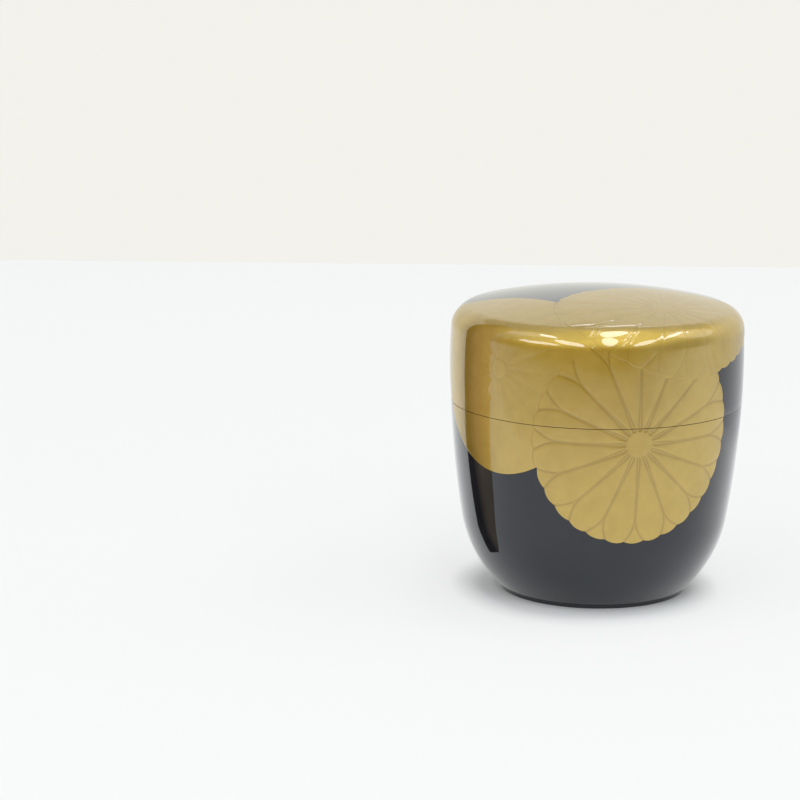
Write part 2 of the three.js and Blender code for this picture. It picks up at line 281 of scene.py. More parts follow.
def turned(name, profile, material):
    """A closed profile from axis to axis, turned round the axis."""
    vertices = []
    rings = []
    for radius, height in profile:
        if radius < ON_AXIS:
            rings.append([len(vertices)])
            vertices.append((0, 0, height))
            continue
        rings.append([])
        for segment in range(TURN_SEGMENTS):
            turn = 2 * math.pi * segment / TURN_SEGMENTS
            rings[-1].append(len(vertices))
            vertices.append((radius * math.cos(turn), radius * math.sin(turn), height))
    faces = []
    for low, high in zip(rings, rings[1:]):
        for segment in range(TURN_SEGMENTS):
            after = (segment + 1) % TURN_SEGMENTS
            if len(low) == 1:
                faces.append((low[0], high[after], high[segment]))
            elif len(high) == 1:
                faces.append((low[segment], low[after], high[0]))
            else:
                faces.append((low[segment], low[after], high[after], high[segment]))
    return mesh_object(name, vertices, faces, [material])


def body_profile():
    lower_side = FORM["lower_side"]
    base = FORM["base"]
    ring_inner = FOOT_RADIUS - FOOT_RING_WIDTH
    cup_floor = FOOT_RECESS + BASE_THICKNESS
    collar_top = BODY_HEIGHT + COLLAR_HEIGHT
    seam_edge = (SEAM_RADIUS, BODY_HEIGHT)
    seam_angle = lower_side.at_height(BODY_HEIGHT - SEAM_EASE)
    corner_centre = (CUP_RADIUS - CUP_CORNER_RADIUS, cup_floor + CUP_CORNER_RADIUS)
    corner = Arc(corner_centre, CUP_CORNER_RADIUS, 0, 0)
    foot_low = (FOOT_RADIUS, 0)
    foot_top = (FOOT_RADIUS, FOOT_HEIGHT)
    ring_low = (ring_inner, 0)
    ring_top = (ring_inner, FOOT_RECESS)
    collar_outer = (COLLAR_RADIUS, collar_top)
    collar_inner = (CUP_RADIUS, collar_top)
    ledge = (COLLAR_RADIUS, BODY_HEIGHT)
    return [
        (0, FOOT_RECESS),
        (ring_inner / 2, FOOT_RECESS),
        *eased((0, FOOT_RECESS), ring_top, ring_low, EDGE_EASE),
        *eased(ring_top, ring_low, foot_low, EDGE_EASE),
        *eased(ring_low, foot_low, foot_top, EDGE_EASE),
        *base.points(base.stop, base.start, BASE_STEPS),
        *lower_side.points(lower_side.stop, seam_angle, LOWER_SIDE_STEPS)[1:-1],
        *eased(lower_side.at(seam_angle), seam_edge, ledge, SEAM_EASE),
        *eased(seam_edge, ledge, collar_outer, SEAM_EASE),
        *eased(ledge, collar_outer, collar_inner, EDGE_EASE),
        *eased(collar_outer, collar_inner, (CUP_RADIUS, cup_floor), EDGE_EASE),
        *corner.points(0, -math.pi / 2, CUP_CORNER_STEPS),
        ((CUP_RADIUS - CUP_CORNER_RADIUS) / 2, cup_floor),
        (0, cup_floor),
    ]


def lid_profile():
    dome = FORM["dome"]
    shoulder = FORM["shoulder"]
    upper_side = FORM["upper_side"]
    lower_side = FORM["lower_side"]
    ceiling_radius = DOME_RADIUS - LID_TOP_THICKNESS
    corner_x = LID_BORE_RADIUS - LID_CORNER_RADIUS
    corner_rise = math.sqrt((ceiling_radius - LID_CORNER_RADIUS) ** 2 - corner_x**2)
    corner_centre = np.array([corner_x, dome.centre[1] + corner_rise])
    corner_angle = angle_of(corner_centre - dome.centre)
    ceiling = Arc(dome.centre, ceiling_radius, 0, 0)
    corner = Arc(corner_centre, LID_CORNER_RADIUS, 0, 0)
    seam_angle = lower_side.at_height(BODY_HEIGHT + SEAM_EASE)
    seam_edge = (SEAM_RADIUS, BODY_HEIGHT)
    lip = (LID_BORE_RADIUS, BODY_HEIGHT)
    return [
        *ceiling.points(math.pi / 2, corner_angle, CEILING_STEPS),
        *corner.points(corner_angle, 0, LID_CORNER_STEPS)[1:],
        *eased((LID_BORE_RADIUS, TOP_HEIGHT), lip, seam_edge, EDGE_EASE),
        *eased(lip, seam_edge, lower_side.at(seam_angle), SEAM_EASE),
        *lower_side.points(seam_angle, 0, ABOVE_SEAM_STEPS)[1:],
        *upper_side.points(0, upper_side.start, UPPER_SIDE_STEPS)[1:],
        *shoulder.points(shoulder.stop, shoulder.start, SHOULDER_STEPS)[1:],
        *dome.points(dome.stop, math.pi / 2, DOME_STEPS)[1:],
    ]


class Flower:
    """Where a flower lies, and how it is drawn. Its angle is in degrees round from the front, and
    its centre is the form's nearest place to the given distance from the axis and height."""

    def __init__(self, angle, from_axis, height, radius, swells, disc, lobed, line_depth, fade, tones):
        self.radius = radius
        self.swells = swells
        self.disc = disc
        self.lobed = lobed
        self.line_depth = line_depth
        self.fade = fade
        self.beside_tone, self.line_tone, self.disc_line_tone = tones
        turn = math.radians(angle)
        near = np.array([[from_axis * math.sin(turn), -from_axis * math.cos(turn), height]])
        places, normals = nearest_on_form(near)
        right = np.array([math.cos(turn), math.sin(turn), 0])
        self.walks = self.walked(places, right, np.cross(normals[0], right))

    def walked(self, centre, right, up):
        """The places that straight walks from the centre over the form reach, stride by stride."""
        headings = np.linspace(0, 2 * math.pi, WALK_HEADINGS, endpoint=False)
        ahead = np.outer(np.cos(headings), up) + np.outer(np.sin(headings), right)
        here = np.repeat(centre, WALK_HEADINGS, axis=0)
        walks = [here]
        for _ in range(math.ceil((self.outline(headings).max() + WALK_SPARE) / WALK_STRIDE)):
            here, facing = nearest_on_form(here + ahead * WALK_STRIDE)
            ahead -= (ahead * facing).sum(axis=1)[:, None] * facing
            ahead /= np.linalg.norm(ahead, axis=1)[:, None]
            walks.append(here)
        return np.array(walks)

    def outline(self, headings):
        """How far the rim stands from the centre: a circle that swells once, twice, three times round."""
        reach = np.full(len(headings), float(self.radius))
        for times, (cosine, sine) in enumerate(self.swells, 1):
            reach += cosine * np.cos(times * headings) + sine * np.sin(times * headings)
        return reach

    def distances(self, headings, reach):
        """The distances at a share of the way out. The disc stays round."""
        swell = self.outline(headings) / self.radius - 1
        return self.radius * reach * (1 + swell * reach**2)

    def on_form(self, headings, distances):
        """The places at the given headings and distances from the flower's centre."""
        along = distances / WALK_STRIDE
        near = np.minimum(along.astype(int), len(self.walks) - 2)
        along = (along - near)[:, None]
        across = headings / (2 * math.pi) * WALK_HEADINGS
        left = np.floor(across).astype(int)
        across = (across - left)[:, None]
        left %= WALK_HEADINGS
        right = (left + 1) % WALK_HEADINGS
        inner = self.walks[near, left] * (1 - across) + self.walks[near, right] * across
        outer = self.walks[near + 1, left] * (1 - across) + self.walks[near + 1, right] * across
        return nearest_on_form(inner * (1 - along) + outer * along)


def between(low, high, share):
    return low + (high - low) * share


def smooth_share(value, low, high):
    share = min(1, max(0, (value - low) / (high - low)))
    return share * share * (3 - 2 * share)


def gap_half(flower, reach):
    """Half the width of the gap between two petals."""
    if reach > SPLIT_SHARE and flower.lobed:
        opened = (reach - SPLIT_SHARE) / (1 - SPLIT_SHARE)
        return GAP_HALVES[-1] + SPLIT_HALF * opened**SPLIT_POWER
    return float(np.interp(reach, GAP_SHARES, GAP_HALVES))


def from_disc_line(flower, reach):
    return abs(reach - flower.disc - DISC_LINE_SHARE / 2)


def disc_line_depth(flower, reach):
    """How deep the line round a flower's disc is."""
    if flower.disc_line_tone == PLAIN:
        return 0
    near = max(0, 1 - from_disc_line(flower, reach) / DISC_LINE_SHARE)
    return (GOLD_DISC - GOLD_FLOOR) * near * DISC_LINE_DEPTH_SHARE


def half_petal(flower, reach):
    """The places across half a petal, from the middle of a gap to the petal's crest, as shares
    of that width, with the height of each, and the width itself."""
    half_width = max(reach, flower.disc) * flower.radius * math.pi / PETALS
    gap = gap_half(flower, reach)
    line = LINE_WIDTH / 2
    floor = line * LINE_FLOOR_SHARE
    inner = max(gap - line, gap * INNER_LIMIT_SHARE)
    inner_floor = max(gap - floor, gap * INNER_FLOOR_LIMIT_SHARE)
    outer = min(gap + line, half_width * OUTER_LIMIT_SHARE)
    outer_floor = min(gap + floor, half_width * OUTER_FLOOR_LIMIT_SHARE)
    crest = between(GOLD_DISC, GOLD_PETAL_CREST, smooth_share(reach, flower.disc, CREST_RISE_SHARE))
    edge = between(GOLD_DISC, GOLD_PETAL_EDGE, smooth_share(reach, flower.disc, EDGE_RISE_SHARE))
    band_share = smooth_share(gap, line * BAND_START_SHARE, line * BAND_FULL_SHARE)
    band = between(GOLD_FLOOR, GOLD_BAND, band_share)
    offsets = [inner * share for share in BAND_SHARES]
    heights = [band] * len(BAND_SHARES)
    offsets += [inner, inner_floor, outer_floor, outer]
    heights += [band, GOLD_FLOOR, GOLD_FLOOR, edge]
    for share in PETAL_SHARES:
        offsets.append(between(outer, half_width, share))
        heights.append(between(edge, crest, math.sin(share * math.pi / 2)))
    offsets.append(half_width)
    heights.append(crest)

    # The lines grow at the disc and fade where the flower's fade says, and the rim is rounded down.
    drawn = smooth_share(reach, flower.disc - LINE_START_SHARE, flower.disc + LINE_FULL_SHARE)
    drawn *= flower.line_depth * (1 - smooth_share(reach, *flower.fade))
    plain = crest - disc_line_depth(flower, reach)
    rim = 1 - RIM_FALL_SHARE * smooth_share(reach, RIM_START_SHARE, 1) ** 2
    heights = [between(plain, height, drawn) * rim for height in heights]
    return np.array(offsets) / half_width, np.array(heights), half_width


def lobe_cut(flower, reach, share, half_width):
    """How much the rim is drawn in between the rounded tips."""
    if not flower.lobed:
        return 0
    offset = share * half_width
    notch = GAP_HALVES[-1] + SPLIT_HALF
    behind = offset / notch
    front = (half_width - offset) / (half_width - notch)
    fall = behind**2 if offset < notch else front**2
    return LOBE_DEPTH * fall * smooth_share(reach, LOBE_START_SHARE, 1)


def all_round(flower, reach):
    """The headings of the places all round at a share of the way out, with how much each is drawn
    in, and its height. A petal's second half mirrors its first."""
    shares, half_heights, half_width = half_petal(flower, reach)
    last = len(shares) - 1
    headings = []
    cuts = []
    heights = []
    for petal in range(PETALS):
        for column in range(2 * last):
            mirrored = column > last
            near = 2 * last - column if mirrored else column
            across = 1 - shares[near] / 2 if mirrored else shares[near] / 2
            headings.append((petal + across) / PETALS * 2 * math.pi)
            cuts.append(lobe_cut(flower, reach, shares[near], half_width))
            heights.append(half_heights[near])
    return np.array(headings), np.array(cuts), np.array(heights)


def tone_of(flower, reach, column):
    """The tone of gold at a share of the way out, so many columns from the middle of a gap."""
    if flower.disc_line_tone != PLAIN and from_disc_line(flower, reach) < DISC_LINE_SHARE:
        return flower.disc_line_tone
    in_petals = flower.disc <= reach < flower.fade[1]
    if in_petals and LINE_COLUMN <= column < LINE_COLUMN + LINE_COLUMNS:
        return flower.line_tone if column == LINE_COLUMN + 1 else flower.beside_tone
    return PLAIN


def add_ring(vertices, places):
    """Adds places to the vertices, and gives their numbers."""
    first = len(vertices)
    vertices.extend(places)
    return range(first, first + len(places))


def add_centre(vertices, flower, height):
    """Adds the place at a height over the flower's centre to the vertices, and gives its number."""
    places, normals = flower.on_form(np.zeros(1), np.zeros(1))
    vertices.append(places[0] + normals[0] * height)
    return len(vertices) - 1


def closed_layer(name, vertices, over, under, materials=(), tone_at=None):
    """A closed layer. Over and under each give a centre and the rings round it, outwards."""
    over_centre, over_rings = over
    under_centre, under_rings = under
    top = over_rings[-1]
    low = under_rings[-1]
    around = len(top)
    faces = []
    tones = []

    def add(face, tone=PLAIN):
        faces.append(face)
        tones.append(tone)

    for column in range(around):
        after = (column + 1) % around
        add((over_centre, over_rings[0][after], over_rings[0][column]))
        add((under_centre, under_rings[0][column], under_rings[0][after]))
        for ring, (inner, outer) in enumerate(zip(over_rings, over_rings[1:])):
            tone = tone_at(ring, column) if tone_at else PLAIN
            add((inner[column], inner[after], outer[after], outer[column]), tone)
        for inner, outer in zip(under_rings, under_rings[1:]):
            add((inner[column], outer[column], outer[after], inner[after]))
        add((top[column], top[after], low[after], low[column]))
    return mesh_object(name, vertices, faces, materials, tones)


def flower_mesh(name, flower, materials):
    reaches = [flower.disc + step for step in DISC_STEP_SHARES] + RING_SHARES
    vertices = []
    over_rings = []
    under_rings = []
    for ring, reach in enumerate(reaches):
        headings, cuts, heights = all_round(flower, reach)
        places, normals = flower.on_form(headings, flower.distances(headings, reach) - cuts)
        over_rings.append(add_ring(vertices, places + normals * heights[:, None]))
        if ring % UNDER_STEP == 0 or ring == len(reaches) - 1:
            under_rings.append(add_ring(vertices, places + normals * GOLD_UNDER))
    over = (add_centre(vertices, flower, GOLD_DISC), over_rings)
    under = (add_centre(vertices, flower, GOLD_UNDER), under_rings)
    per_petal = len(over_rings[0]) // PETALS

    def tone_at(ring, column):
        column %= per_petal
        return tone_of(flower, reaches[ring], min(column, per_petal - 1 - column))

    return closed_layer(name, vertices, over, under, materials, tone_at)


def cutter_mesh(name, flower, margin, low, high):
    """A flower's outline as a thick plain layer, to cut the flowers below it with."""
    headings, cuts, _ = all_round(flower, 1)
    rim = flower.distances(headings, 1) - cuts + margin
    vertices = []
    over_rings = []
    under_rings = []
    for reach in CUTTER_SHARES:
        places, normals = flower.on_form(headings, rim * reach)
        under_rings.append(add_ring(vertices, places + normals * low))
        over_rings.append(add_ring(vertices, places + normals * high))
    under = (add_centre(vertices, flower, low), under_rings)
    over = (add_centre(vertices, flower, high), over_rings)
    return closed_layer(name, vertices, over, under)


def block_mesh(name, low, high):
    """A block wider than the caddy, to cut off what lies between two heights."""
    made = mesh_object(name, [], [], [])
    shape = bmesh.new()
    width = 4 * WIDEST_RADIUS
    middle = Matrix.Translation((0, 0, (low + high) / 2))
    size = Matrix.Diagonal((width, width, high - low, 1))
    bmesh.ops.create_cube(shape, size=1, matrix=middle @ size)
    shape.to_mesh(made.data)
    shape.free()
    return made


def cut(made, cutters):
    for cutter in cutters:
        modifier = made.modifiers.new("cut", "BOOLEAN")
        modifier.object = cutter
        modifier.operation = "DIFFERENCE"
        modifier.solver = "MANIFOLD"
    shown = made.evaluated_get(bpy.context.evaluated_depsgraph_get())
    result = bpy.data.meshes.new_from_object(shown)
    made.modifiers.clear()
    made.data = result
    return made


def finished(made, edge_angle):
    """Brings a mesh to metres, and shades it smooth between its edges."""
    made.data.transform(Matrix.Scale(MILLIMETRE, 4))
    made.data.shade_smooth()
    made.data.set_sharp_from_angle(angle=math.radians(edge_angle))
    made.data.update()
    return made


class Nodes:
    """Short calls for building the nodes of a material or of the world."""

    def __init__(self, owner, output):
        owner.use_nodes = True
        self.owner = owner
        self.tree = owner.node_tree
        self.tree.nodes.clear()
        self.output = self.add(output)

    def add(self, kind, **values):
        node = self.tree.nodes.new(kind)
        for name, value in values.items():
            if hasattr(node, name):
                setattr(node, name, value)
            else:
                node.inputs[name].default_value = value
        return node

    def link(self, start, end):
        self.tree.links.new(start, end)

    def principled(self, sheen):
        """The main shader, with the given values on its own sockets."""
        node = self.add("ShaderNodeBsdfPrincipled")
        for name, value in sheen.items():
            node.inputs[name].default_value = value
        return node

    def noise(self, scale, detail, stretch=(1, 1, 1)):
        place = self.add("ShaderNodeTexCoord")
        mapping = self.add("ShaderNodeMapping", Scale=stretch)
        noise = self.add("ShaderNodeTexNoise", Scale=scale, Detail=detail)
        self.link(place.outputs["Object"], mapping.inputs["Vector"])
        self.link(mapping.outputs["Vector"], noise.inputs["Vector"])
        return noise.outputs["Fac"]

    def parts(self, vector):
        node = self.add("ShaderNodeSeparateXYZ")
        self.link(vector, node.inputs["Vector"])
        return node.outputs

    def vector_math(self, operation, vector, constant):
        node = self.add("ShaderNodeVectorMath", operation=operation)
        node.inputs[1].default_value = constant
        self.link(vector, node.inputs[0])
        return node.outputs

    def math(self, operation, first, second):
        node = self.add("ShaderNodeMath", operation=operation)
        self.link(first, node.inputs[0])
        self.link(second, node.inputs[1])
        return node.outputs["Value"]

    def sum(self, first, second):
        return self.math("ADD", first, second)

    def product(self, first, second):
        return self.math("MULTIPLY", first, second)

    def ranged(self, value, start, stop, at_start=0, at_stop=1, interpolation="LINEAR"):
        """Goes from one number to another while the value goes from start to stop."""
        node = self.add("ShaderNodeMapRange", interpolation_type=interpolation)
        node.inputs["From Min"].default_value = start
        node.inputs["From Max"].default_value = stop
        node.inputs["To Min"].default_value = at_start
        node.inputs["To Max"].default_value = at_stop
        self.link(value, node.inputs["Value"])
        return node.outputs["Result"]

    def mixed(self, share, first, second):
        """A mix of two colours. Each is a colour or what a node gives."""
        node = self.add("ShaderNodeMix", data_type="RGBA")
        self.link(share, node.inputs["Factor"])
        for name, colour in (("A", first), ("B", second)):
            if isinstance(colour, tuple):
                node.inputs[name].default_value = (*colour, 1)
            else:
                self.link(colour, node.inputs[name])
        return node.outputs["Result"]

    def mixed_shaders(self, share, first, second):
        node = self.add("ShaderNodeMixShader")
        self.link(share, node.inputs["Fac"])
        self.link(first, node.inputs[1])
        self.link(second, node.inputs[2])
        return node.outputs["Shader"]

    def bump(self, height, strength, distance):
        node = self.add("ShaderNodeBump", Strength=strength, Distance=distance)
        self.link(height, node.inputs["Height"])
        return node.outputs["Normal"]

    def with_surface(self, surface):
        self.link(surface, self.output.inputs["Surface"])
        return self.owner


def material_nodes(name):
    return Nodes(bpy.data.materials.new(name), "ShaderNodeOutputMaterial")


# Most of a noise lies within NOISE_SPAN, and most of the sum of two within NOISE_SUM_SPAN.
NOISE_MIDDLE = (0.35, 0.65)
NOISE_SPAN = (0.3, 0.7)
NOISE_SUM_SPAN = (0.7, 1.3)

# The lacquer: near black, under a polished coat, with faint waves and fine traces of polishing.
LACQUER_SHEEN = {
    "IOR": 1.36,
    "Specular Tint": (0.88, 0.94, 1, 1),
    "Coat Weight": 0.85,
    "Coat Roughness": 0.04,
    "Coat IOR": 1.48,
}
LACQUER_DARK = (0.006, 0.0075, 0.012)
LACQUER_LIGHT = (0.0085, 0.0105, 0.0155)
LACQUER_GLOSS = (0.035, 0.085)
TONE_SCALE = 140
WAVE_SCALE = 55
SMEAR_SCALE = 420
POLISH_SCALE = 2600
POLISH_STRETCH = (1, 1, 0.12)
POLISH_SHARE = 0.004
LACQUER_BUMP = 0.5
LACQUER_BUMP_HEIGHT = 0.00006


def lacquer_material():
    nodes = material_nodes("black_lacquer")
    shader = nodes.principled(LACQUER_SHEEN)
    tone = nodes.ranged(nodes.noise(TONE_SCALE, detail=3), *NOISE_MIDDLE)
    waves = nodes.noise(WAVE_SCALE, detail=1)
    polish = nodes.noise(POLISH_SCALE, detail=3, stretch=POLISH_STRETCH)
    gloss = nodes.ranged(nodes.noise(SMEAR_SCALE, detail=4), *NOISE_SPAN, *LACQUER_GLOSS)
    height = nodes.sum(waves, nodes.ranged(polish, 0, 1, 0, POLISH_SHARE))
    bumped = nodes.bump(height, LACQUER_BUMP, LACQUER_BUMP_HEIGHT)
    nodes.link(nodes.mixed(tone, LACQUER_DARK, LACQUER_LIGHT), shader.inputs["Base Color"])
    nodes.link(gloss, shader.inputs["Roughness"])
    nodes.link(bumped, shader.inputs["Normal"])
    nodes.link(bumped, shader.inputs["Coat Normal"])
    return nodes.with_surface(shader.outputs["BSDF"])


# The gold: metal powder under a clear coat, a little cloudy. The tones come in the order of PLAIN,
# FAINT, BESIDE_LINE and IN_LINE, each with its darkest and lightest colour and its roughness.
GOLD_SHEEN = {
    "Metallic": 1,
    "Specular Tint": (0.92, 0.89, 0.78, 1),
    "Coat Weight": 1,
    "Coat Roughness": 0.025,
    "Coat IOR": 1.9,
}
GOLD_TONES = [
    ("gold_powder", (0.505, 0.342, 0.035), (0.595, 0.413, 0.062), 0.45),
    ("gold_in_faint_lines", (0.485, 0.325, 0.032), (0.57, 0.396, 0.058), 0.45),
    ("gold_beside_the_lines", (0.448, 0.298, 0.027), (0.533, 0.362, 0.049), 0.46),
    ("gold_in_the_lines", (0.38, 0.246, 0.017), (0.45, 0.305, 0.035), 0.48),
]
GOLD_SMOOTHER = 0.05
GOLD_ROUGHER = 0.07
POWDER_SCALE = 9000
CLOUD_SCALE = 260
POWDER_BUMP = 0.25
POWDER_BUMP_HEIGHT = 0.00002


def gold_material(name, dark, light, roughness):
    nodes = material_nodes(name)
    shader = nodes.principled(GOLD_SHEEN)
    powder = nodes.noise(POWDER_SCALE, detail=2)
    cloud = nodes.noise(CLOUD_SCALE, detail=3)
    tone = nodes.ranged(nodes.sum(powder, cloud), *NOISE_SUM_SPAN)
    gloss = nodes.ranged(powder, *NOISE_SPAN, roughness - GOLD_SMOOTHER, roughness + GOLD_ROUGHER)
    nodes.link(nodes.mixed(tone, dark, light), shader.inputs["Base Color"])
    nodes.link(gloss, shader.inputs["Roughness"])
    nodes.link(nodes.bump(powder, POWDER_BUMP, POWDER_BUMP_HEIGHT), shader.inputs["Normal"])
    return nodes.with_surface(shader.outputs["BSDF"])


lacquer = lacquer_material()
gold = [gold_material(*tone) for tone in GOLD_TONES]

# The turned body and lid.
caddy_body = finished(turned("lacquered_body", body_profile(), lacquer), TURNED_EDGE_ANGLE)
caddy_lid = finished(turned("lacquered_lid", lid_profile(), lacquer), TURNED_EDGE_ANGLE)
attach(caddy_body, "body")
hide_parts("caddy_body")
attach(caddy_lid, "lid")
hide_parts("caddy_lid")

# The three flowers.
front = Flower(
    angle=13.6,
    from_axis=WIDEST_RADIUS,
    height=39.87,
    radius=23.92,
    swells=[(0.98, 0.1), (-0.05, 0.47)],
    disc=DISC_SHARE,
    lobed=True,
    line_depth=1,
    fade=NO_FADE,
    tones=(BESIDE_LINE, IN_LINE, PLAIN),
)
left = Flower(
    angle=-43.6,
    from_axis=WIDEST_RADIUS,
    height=54.95,
    radius=25.68,
    swells=[(2.11, -0.56), (-0.9, -0.05), (-1.11, -0.15)],
    disc=SMALL_DISC_SHARE,
    lobed=False,
    line_depth=0.3,
    fade=(0.35, 0.75),
    tones=(PLAIN, FAINT, FAINT),
)
top = Flower(
    angle=43,
    from_axis=19.9,
    height=TOP_HEIGHT,
    radius=23.2,
    swells=[(-0.95, -0.48), (-1.96, -0.28), (-0.43, -0.59)],
    disc=DISC_SHARE,
    lobed=True,
    line_depth=0.5,
    fade=NO_FADE,
    tones=(PLAIN, BESIDE_LINE, PLAIN),
)

# The top flower lies over the front one, and the front one over the left one. A flower below ends
# in a fine line beside the one above, and its underside runs on a little way under it.
above_seam = block_mesh("above_seam", BODY_HEIGHT - GOLD_SEAM_HALF, 2 * TOP_HEIGHT)
below_seam = block_mesh("below_seam", -TOP_HEIGHT, BODY_HEIGHT + GOLD_SEAM_HALF)
over_front = [
    cutter_mesh("top_outline", top, OVERLAP_LINE, GOLD_FLOOR, CUTTER_TOP),
    cutter_mesh("top_core", top, -OVERLAP_TUCK, CUTTER_DEEP, CUTTER_TOP),
]
over_left = [
    *over_front,
    cutter_mesh("front_outline", front, OVERLAP_LINE, GOLD_FLOOR, CUTTER_TOP),
    cutter_mesh("front_core", front, -OVERLAP_TUCK, CUTTER_DEEP, CUTTER_TOP),
]
PIECES = [
    ("front_chrysanthemum_upper", front, [*over_front, below_seam], "lid", "front_flower_upper"),
    ("front_chrysanthemum_lower", front, [*over_front, above_seam], "body", "front_flower_lower"),
    ("left_chrysanthemum_upper", left, [*over_left, below_seam], "lid", "left_flower_upper"),
    ("left_chrysanthemum_lower", left, [*over_left, above_seam], "body", "left_flower_lower"),
    ("top_chrysanthemum", top, [], "lid", "top_flower"),
]
for name, flower, cutters, body, node in PIECES:
    piece = finished(cut(flower_mesh(name, flower, gold), cutters), GOLD_EDGE_ANGLE)
    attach(piece, body)
    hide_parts(node)
for cutter in [*over_left, above_seam, below_seam]:
    bpy.data.objects.remove(cutter)

# The floor is a pale sheet. Seen from below it lets the view through. What the camera and the gloss
# see of it is part plain tone and part shaded sheet. In the gloss it also fades into the room in
# front, and it darkens far out in two corners, behind on the right and in front on the left: painted
# shade in the caddy's reflection. A fade gives where it starts and stops, and the share at each.
FLOOR_SIDE = 1.6
FLOOR_FRONT = -1.2
FLOOR_BACK = 0.443
PAPER = {"Base Color": (0.905, 0.912, 0.862, 1), "Roughness": 0.75}
FLOOR_TONE = (0.925, 0.935, 0.92, 1)
SHADOW_STRETCH = (1.125, 0.96, 1)
SHADOW_MIDDLE = (-0.002, 0, 0)
VIEW_FADE = (0.0265, 0.035, 0, 0.7)
GLOSS_FADE = (0.03, 0.07, 0.15, 0.45)
FRONT_FADE = (-0.07, -0.5, 0, 0.92)
CORNER_FADE = (0.0085, 0.0135, 0, 1)
CORNER_STRENGTH = 0.5


def floor_material():
    nodes = material_nodes("pale_floor")
    path = nodes.add("ShaderNodeLightPath").outputs
    place = nodes.add("ShaderNodeTexCoord").outputs["Object"]
    parts = nodes.parts(place)
    widened = nodes.vector_math("MULTIPLY", place, SHADOW_STRETCH)["Vector"]
    from_axis = nodes.vector_math("DISTANCE", widened, SHADOW_MIDDLE)["Value"]
    in_view = nodes.product(nodes.ranged(from_axis, *VIEW_FADE), path["Is Camera Ray"])
    in_gloss = nodes.product(nodes.ranged(from_axis, *GLOSS_FADE), path["Is Glossy Ray"])
    # Painted shade: in the gloss the floor's plain tone is dimmed in two far corners.
    in_corner = nodes.ranged(nodes.product(parts["X"], parts["Y"]), *CORNER_FADE)
    darkened = nodes.product(in_corner, path["Is Glossy Ray"])
    paper = nodes.principled(PAPER)
    plain = nodes.add("ShaderNodeEmission", Color=FLOOR_TONE)
    nodes.link(nodes.ranged(darkened, 0, 1, 1, CORNER_STRENGTH), plain.inputs["Strength"])
    plain_share = nodes.sum(in_view, in_gloss)
    lit = nodes.mixed_shaders(plain_share, paper.outputs["BSDF"], plain.outputs["Emission"])
    in_front = nodes.product(nodes.ranged(parts["Y"], *FRONT_FADE), path["Is Glossy Ray"])
    from_below = nodes.add("ShaderNodeNewGeometry").outputs["Backfacing"]
    clear = nodes.add("ShaderNodeBsdfTransparent").outputs["BSDF"]
    return nodes.with_surface(nodes.mixed_shaders(nodes.sum(from_below, in_front), lit, clear))


floor_corners = [
    (-FLOOR_SIDE, FLOOR_FRONT, 0),
    (FLOOR_SIDE, FLOOR_FRONT, 0),
    (FLOOR_SIDE, FLOOR_BACK, 0),
    (-FLOOR_SIDE, FLOOR_BACK, 0),
]
floor = mesh_object("floor", floor_corners, [(0, 1, 2, 3)], [floor_material()])

# Painted reflection: a glowing brown card stands beside the caddy and shows only in its gloss, in
# place of a wooden box in shade. It is lighter towards the front, and glows more high up and at its
# front end.
SCREEN_AWAY = 0.0364
SCREEN_FRONT = 0.0213
SCREEN_HEIGHT = 0.087
SCREEN_SHARES = [
    (0.21, 0), (0.56, 0), (0.69, 0.045), (0.775, 0.1), (0.87, 0.215), (0.93, 0.34), (0.98, 0.47),
    (1, 0.6), (1, 1), (0.44, 1), (0.41, 0.5), (0.345, 0.35), (0.305, 0.22), (0.27, 0.08),
]
SCREEN_DARK = (0.04, 0.03, 0.02)
SCREEN_LIGHT = (0.35, 0.27, 0.17)
SCREEN_LIGHT_SPAN = (-0.0103, -0.0145)
SCREEN_UP_SPAN = (0.022, 0.036)
SCREEN_FRONT_FADE = (-0.016, -0.0213, 0.45, 0.9)
SCREEN_GLOW = (1, 2)


def screen_material():
    nodes = material_nodes("painted_reflection_glow")
    parts = nodes.parts(nodes.add("ShaderNodeTexCoord").outputs["Object"])
    # The card's colour and glow are a painted reflection: it is no lamp, and shows only in the gloss.
    glow = nodes.add("ShaderNodeEmission")
    lightness = nodes.ranged(parts["Y"], *SCREEN_LIGHT_SPAN)
    high_up = nodes.ranged(parts["Z"], *SCREEN_UP_SPAN)
    front_end = nodes.product(high_up, nodes.ranged(parts["Y"], *SCREEN_FRONT_FADE))
    nodes.link(nodes.mixed(lightness, SCREEN_DARK, SCREEN_LIGHT), glow.inputs["Color"])
    nodes.link(nodes.ranged(front_end, 0, 1, *SCREEN_GLOW), glow.inputs["Strength"])
    return nodes.with_surface(glow.outputs["Emission"])


screen_corners = []
for front_share, height_share in SCREEN_SHARES:
    screen_corners.append((-SCREEN_AWAY, -SCREEN_FRONT * front_share, SCREEN_HEIGHT * height_share))
screen_face = range(len(screen_corners))
screen = mesh_object("painted_reflection_card", screen_corners, [screen_face], [screen_material()])
screen.visible_camera = False
screen.visible_diffuse = False
screen.visible_shadow = False
screen.visible_transmission = False

# The room: pale all round, and darker and warmer low down in front. The camera sees only the wall.
# A span gives where, in one part of the direction, a colour starts to come in and where it is full.
WALL = (0.895, 0.885, 0.835)
ROOM = (0.34, 0.34, 0.34)
CEILING = (0.47, 0.475, 0.52)
BACK = (0.84, 0.84, 0.79)
HIGH_BACK = (0.9, 0.9, 0.87)
DARK = (0.32, 0.22, 0.1)
CEILING_SPAN = (0.4, 0.75)
BACK_SPAN = (-0.3, 0.4)
BACK_TOP_SPAN = (0.61, 0.55)
HIGH_BACK_SPAN = (0.17, 0.3)
DARK_FRONT_SPAN = (0.25, -0.35)
DARK_RIGHT_SPAN = (0.85, 0.3)
DARK_TOP_SPAN = (0.42, 0.22)


